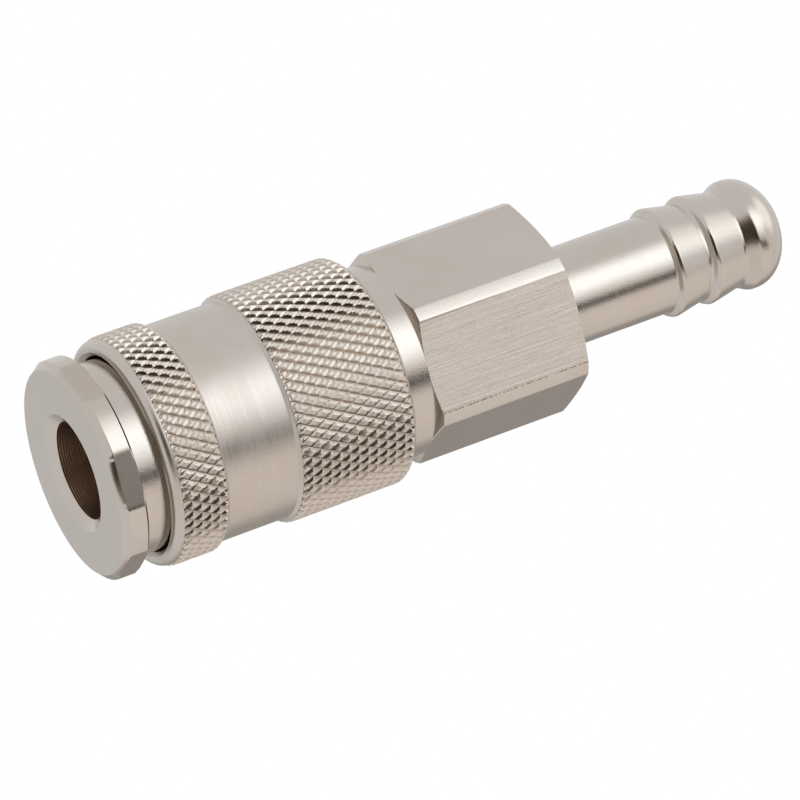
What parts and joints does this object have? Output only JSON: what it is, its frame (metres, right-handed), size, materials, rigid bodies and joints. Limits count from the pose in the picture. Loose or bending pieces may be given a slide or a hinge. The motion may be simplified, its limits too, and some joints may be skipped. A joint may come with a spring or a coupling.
{
  "type": "hose tail coupling",
  "caption": "Quick-release air hose coupling: a plug socket with a knurled sleeve that slides back to release the plug, a hexagonal body and a barbed hose tail.",
  "frame": {"origin": "centre of the front flange's flat face, which is the lowest point", "axes": "+Z along the coupling's axis, from the plug socket's mouth to the tip of the hose tail; +X through a corner of the hexagon"},
  "size_m": [0.024, 0.024, 0.08],
  "materials": {
    "nickel_body": "brass with bright nickel plating over fine turning and drawing marks",
    "nickel_sleeve": "brass with satin nickel plating, knurled",
    "spring_steel": "drawn spring wire",
    "ball_steel": "polished hardened steel",
    "seal_rubber": "black nitrile rubber",
    "valve_brass": "turned bare brass"
  },
  "bodies": {
    "coupling_body": {"front_body": "nickel_body", "rear_body": "nickel_body", "sleeve_spring": "spring_steel", "plug_seal": "seal_rubber", "valve_spring": "spring_steel", "body_gasket": "seal_rubber"},
    "sleeve": {"release_sleeve": "nickel_sleeve"},
    "locking_ball_1": {"ball_1": "ball_steel"},
    "locking_ball_2": {"ball_2": "ball_steel"},
    "locking_ball_3": {"ball_3": "ball_steel"},
    "locking_ball_4": {"ball_4": "ball_steel"},
    "locking_ball_5": {"ball_5": "ball_steel"},
    "locking_ball_6": {"ball_6": "ball_steel"},
    "valve": {"valve_poppet": "valve_brass", "valve_seal": "seal_rubber"}
  },
  "joints": [
    {"name": "sleeve_slide", "type": "slide", "parent": "coupling_body", "child": "sleeve", "axis": [0, 0, 1], "range_m": [0, 0.0028], "stiffness_N_per_m": 3000, "springref_m": -0.005, "deforming": ["sleeve_spring"]},
    {"name": "valve_slide", "type": "slide", "parent": "coupling_body", "child": "valve", "axis": [0, 0, 1], "range_m": [0, 0.0035], "stiffness_N_per_m": 1200, "springref_m": -0.004, "deforming": ["valve_spring"]},
    {"name": "ball_1_slide", "type": "slide", "parent": "coupling_body", "child": "locking_ball_1", "axis": [1, 0, 0], "range_m": [0, 0.00056]},
    {"name": "ball_2_slide", "type": "slide", "parent": "coupling_body", "child": "locking_ball_2", "axis": [0.5, 0.866, 0], "range_m": [0, 0.00056]},
    {"name": "ball_3_slide", "type": "slide", "parent": "coupling_body", "child": "locking_ball_3", "axis": [-0.5, 0.866, 0], "range_m": [0, 0.00056]},
    {"name": "ball_4_slide", "type": "slide", "parent": "coupling_body", "child": "locking_ball_4", "axis": [-1, 0, 0], "range_m": [0, 0.00056]},
    {"name": "ball_5_slide", "type": "slide", "parent": "coupling_body", "child": "locking_ball_5", "axis": [-0.5, -0.866, 0], "range_m": [0, 0.00056]},
    {"name": "ball_6_slide", "type": "slide", "parent": "coupling_body", "child": "locking_ball_6", "axis": [0.5, -0.866, 0], "range_m": [0, 0.00056]}
  ],
  "couplings": [
    {"joint": "ball_1_slide", "follows": "sleeve_slide", "ratio": 0.2},
    {"joint": "ball_2_slide", "follows": "sleeve_slide", "ratio": 0.2},
    {"joint": "ball_3_slide", "follows": "sleeve_slide", "ratio": 0.2},
    {"joint": "ball_4_slide", "follows": "sleeve_slide", "ratio": 0.2},
    {"joint": "ball_5_slide", "follows": "sleeve_slide", "ratio": 0.2},
    {"joint": "ball_6_slide", "follows": "sleeve_slide", "ratio": 0.2}
  ]
}
